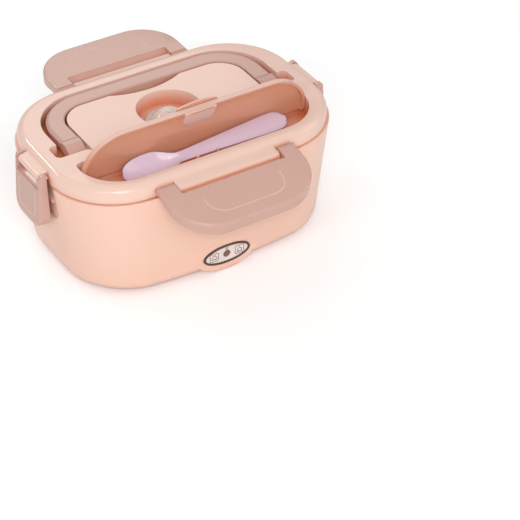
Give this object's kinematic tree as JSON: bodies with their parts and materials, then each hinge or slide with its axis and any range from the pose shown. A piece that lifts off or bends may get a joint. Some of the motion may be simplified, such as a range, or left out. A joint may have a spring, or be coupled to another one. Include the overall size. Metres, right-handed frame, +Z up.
{
  "type": "electric lunch box",
  "caption": "Electric lunch box with a heated oval base, a clip-down lid with a folding handle, a spoon under a hinged cover and a lidded food container inside.",
  "frame": {"origin": "on the table under the middle of the box, level with the soles of the feet", "axes": "+Z up; -Y towards the control panel at the front; +X towards the right-hand side latch"},
  "size_m": [0.2434, 0.2451, 0.1247],
  "materials": {
    "shell_plastic": "smooth moulded polypropylene, apricot pink",
    "lid_plastic": "smooth moulded polypropylene, pale apricot pink",
    "liner_plastic": "smooth moulded polypropylene, pale pink",
    "rose_plastic": "satin moulded plastic, dusty rose",
    "cover_plastic": "smooth moulded plastic, warm dusty rose",
    "spoon_plastic": "satin moulded plastic, pale lilac",
    "clear_plastic": "milky clear polypropylene",
    "plug_rubber": "milky silicone rubber",
    "seal_rubber": "pale silicone rubber",
    "foot_rubber": "matt dark rubber",
    "plate_aluminium": "brushed aluminium",
    "screw_steel": "zinc-plated steel",
    "pin_brass": "nickel-plated contact pins",
    "bezel_plastic": "dark brown gloss plastic",
    "panel_plastic": "satin grey-pink plastic",
    "lens_plastic": "tinted indicator lens",
    "board_plastic": "green circuit board",
    "black_plastic": "matt black heat-resistant plastic",
    "fuse_ceramic": "glazed off-white body",
    "wire_rubber": "red silicone insulation"
  },
  "bodies": {
    "base": {"base_shell": "shell_plastic", "well_liner": "liner_plastic", "plate_seal": "seal_rubber", "heating_plate": "plate_aluminium", "heater_element": "plate_aluminium", "heater_bracket": "screw_steel", "thermostat": "black_plastic", "thermal_fuse": "fuse_ceramic", "bottom_cover": "shell_plastic", "cover_screws": "screw_steel", "bracket_screws": "screw_steel", "rubber_feet": "foot_rubber", "panel_bezel": "bezel_plastic", "panel_plate": "panel_plastic", "led_lens": "lens_plastic", "indicator_board": "board_plastic", "inlet_socket": "black_plastic", "inlet_pins": "pin_brass", "wiring": "wire_rubber"},
    "lid": {"lid_shell": "lid_plastic", "lid_liner": "liner_plastic", "lid_gasket": "seal_rubber"},
    "handle": {"handle": "rose_plastic"},
    "front_latch": {"front_latch": "rose_plastic"},
    "rear_latch": {"rear_latch": "rose_plastic"},
    "left_latch": {"left_latch": "rose_plastic"},
    "right_latch": {"right_latch": "rose_plastic"},
    "spoon_cover": {"spoon_cover": "cover_plastic"},
    "spoon": {"spoon": "spoon_plastic"},
    "vent_plug": {"vent_plug": "plug_rubber"},
    "container": {"food_container": "clear_plastic"},
    "container_lid": {"container_lid": "rose_plastic"},
    "container_plug": {"container_plug": "plug_rubber"}
  },
  "joints": [
    {"name": "lid_lift", "type": "slide", "parent": "base", "child": "lid", "axis": [0, 0, 1], "range_m": [0, 0.19]},
    {"name": "handle_swing", "type": "hinge", "parent": "lid", "child": "handle", "pos_m": [0, -0.0025, 0.0895], "axis": [1, 0, 0], "range_deg": [0, 90]},
    {"name": "front_latch_hinge", "type": "hinge", "parent": "lid", "child": "front_latch", "pos_m": [0, -0.0764, 0.0886], "axis": [-1, 0, 0], "range_deg": [-69.8, 25]},
    {"name": "rear_latch_hinge", "type": "hinge", "parent": "lid", "child": "rear_latch", "pos_m": [0, 0.0764, 0.0886], "axis": [1, 0, 0], "range_deg": [-84.8, 10]},
    {"name": "left_latch_hinge", "type": "hinge", "parent": "lid", "child": "left_latch", "pos_m": [-0.1152, 0, 0.0886], "axis": [0, 1, 0], "range_deg": [-4.5, 100]},
    {"name": "right_latch_hinge", "type": "hinge", "parent": "lid", "child": "right_latch", "pos_m": [0.1152, 0, 0.0886], "axis": [0, -1, 0], "range_deg": [-4.5, 100]},
    {"name": "cover_hinge", "type": "hinge", "parent": "lid", "child": "spoon_cover", "pos_m": [0, -0.0334, 0.0936], "axis": [-1, 0, 0], "range_deg": [-79, 8]},
    {"name": "spoon_lift", "type": "slide", "parent": "lid", "child": "spoon", "axis": [0, -0.2334, 0.9724], "range_m": [0, 0.06]},
    {"name": "vent_plug_lift", "type": "slide", "parent": "lid", "child": "vent_plug", "axis": [0, 0, 1], "range_m": [0, 0.006]},
    {"name": "container_lift", "type": "slide", "parent": "base", "child": "container", "axis": [0, 0, 1], "range_m": [0, 0.095]},
    {"name": "container_lid_lift", "type": "slide", "parent": "container", "child": "container_lid", "axis": [0, 0, 1], "range_m": [0, 0.019]},
    {"name": "container_plug_lift", "type": "slide", "parent": "container_lid", "child": "container_plug", "axis": [0, 0, 1], "range_m": [0, 0.0038]}
  ],
  "couplings": [
    {"joint": "container_lift", "follows": "lid_lift", "ratio": 0.5},
    {"joint": "container_lid_lift", "follows": "lid_lift", "ratio": 0.1},
    {"joint": "container_plug_lift", "follows": "lid_lift", "ratio": 0.02}
  ]
}
